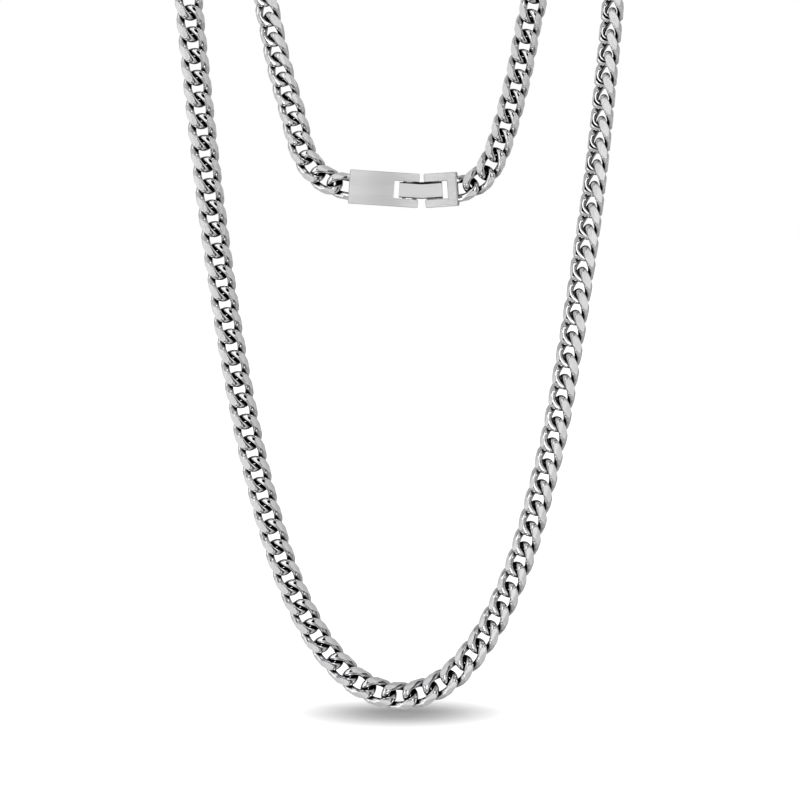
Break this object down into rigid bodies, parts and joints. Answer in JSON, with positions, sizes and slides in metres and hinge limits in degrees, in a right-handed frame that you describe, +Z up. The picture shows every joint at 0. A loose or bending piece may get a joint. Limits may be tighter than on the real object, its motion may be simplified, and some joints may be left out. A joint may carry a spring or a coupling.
{
  "type": "curb chain necklace",
  "caption": "Closed loop of flat twisted steel links with a slotted plate clasp and hinged snap tongue, held up as it hangs with the neck hollow open.",
  "frame": {"origin": "neck rest: on the centre plane midway between the front and back drops, at the underside of the two arches where the chain goes over the neck", "axes": "+Z up along the hanging drops, -Y the side shown to the viewer (front drop), +X to the viewer's right"},
  "size_m": [0.0941, 0.0559, 0.1786],
  "materials": {
    "links": "polished",
    "clasp": "satin",
    "tongue": "satin with polished bevels",
    "pins": "satin"
  },
  "bodies": {
    "necklace": {"chain_left": "links", "chain_right": "links", "clasp_plate": "clasp", "clasp_bracket": "clasp", "hinge_pin": "pins", "catch_pin": "pins"},
    "tongue": {"clasp_tongue": "tongue"}
  },
  "joints": [
    {"name": "tongue_hinge", "type": "hinge", "parent": "necklace", "child": "tongue", "pos_m": [0.00096, 0.025, -0.06504], "axis": [-0.0663, 0, -0.9978], "range_deg": [0, 110]}
  ]
}
